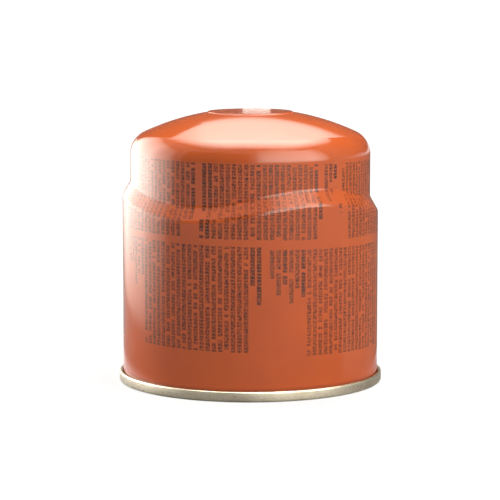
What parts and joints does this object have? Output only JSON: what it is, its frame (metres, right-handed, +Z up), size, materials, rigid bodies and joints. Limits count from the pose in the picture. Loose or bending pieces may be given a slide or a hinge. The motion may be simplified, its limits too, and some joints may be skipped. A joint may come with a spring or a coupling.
{
  "type": "fuel canister",
  "caption": "Squat sealed gas cartridge for a camping stove: drawn can with domed top and waved shoulder, closed by a double seamed end it stands on.",
  "frame": {"origin": "centre of the ring that the canister stands on, at the floor", "axes": "+Z up along the can's axis, -Y towards the front that the picture shows"},
  "size_m": [0.0928, 0.0928, 0.095],
  "materials": {
    "orange_lacquer": "gloss",
    "tinplate": "semi-bright"
  },
  "bodies": {
    "root": {"can_body": "orange_lacquer", "base_end": "tinplate"}
  },
  "joints": []
}
